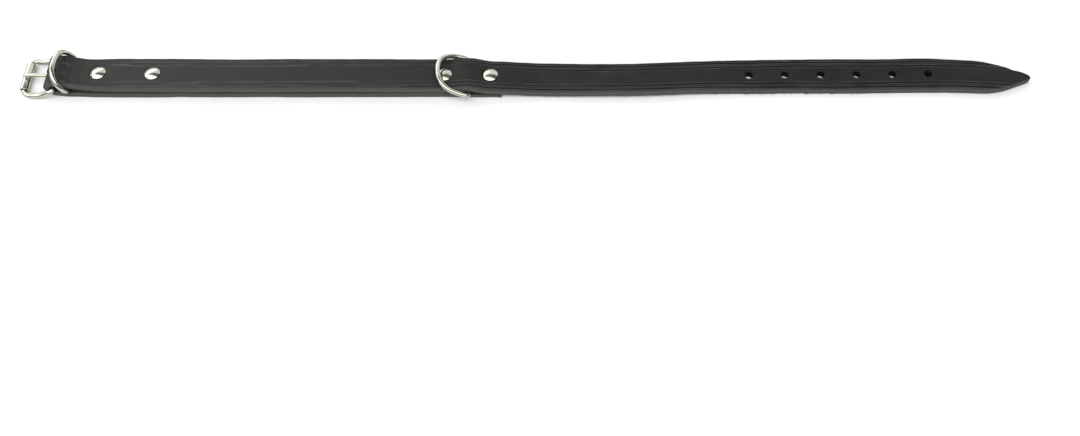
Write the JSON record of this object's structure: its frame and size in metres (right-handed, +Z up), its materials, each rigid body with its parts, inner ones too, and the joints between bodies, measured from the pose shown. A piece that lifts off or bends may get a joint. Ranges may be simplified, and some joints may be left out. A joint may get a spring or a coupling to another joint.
{
  "type": "dog collar",
  "caption": "Leather dog collar with a roller buckle, cut point, adjustment holes, two riveted dees and creased edges, laid out flat.",
  "frame": {"origin": "on the table under the middle of the collar's bounding box", "axes": "+X along the strap from the buckle to the point, +Y across the strap to the far edge, +Z up from the table"},
  "size_m": [0.51, 0.0264, 0.0157],
  "materials": {
    "black_leather": "smooth finished grain with raw flesh side and pale worn cut edge",
    "nickel": "polished nickel plate with light tarnish and scratches"
  },
  "bodies": {
    "collar": {"strap": "black_leather", "rivet_1": "nickel", "rivet_2": "nickel", "rivet_3": "nickel", "rivet_4": "nickel"},
    "end_dee": {"end_dee": "nickel"},
    "middle_dee": {"middle_dee": "nickel"},
    "frame": {"buckle_frame": "nickel"},
    "roller": {"buckle_roller": "nickel"},
    "prong": {"buckle_prong": "nickel"}
  },
  "joints": [
    {"name": "end_dee_swing", "type": "hinge", "parent": "collar", "child": "end_dee", "pos_m": [-0.2298, 0.00022, 0.00435], "axis": [0, 1, 0], "range_deg": [0, 80]},
    {"name": "middle_dee_swing", "type": "hinge", "parent": "collar", "child": "middle_dee", "pos_m": [-0.0294, -0.0002, 0.00359], "axis": [-0.0785, 0.9969, 0], "range_deg": [0, 115]},
    {"name": "frame_lift", "type": "hinge", "parent": "collar", "child": "frame", "pos_m": [-0.2372, 0.0004, 0.00457], "axis": [0, 1, 0], "range_deg": [0, 30]},
    {"name": "prong_lift", "type": "hinge", "parent": "frame", "child": "prong", "pos_m": [-0.2372, -0.0007, 0.00457], "axis": [0, 1, 0], "range_deg": [0, 50]},
    {"name": "roller_spin", "type": "hinge", "parent": "frame", "child": "roller", "pos_m": [-0.2528, 0.0004, 0.0022], "axis": [0, 1, 0], "continuous": true}
  ]
}
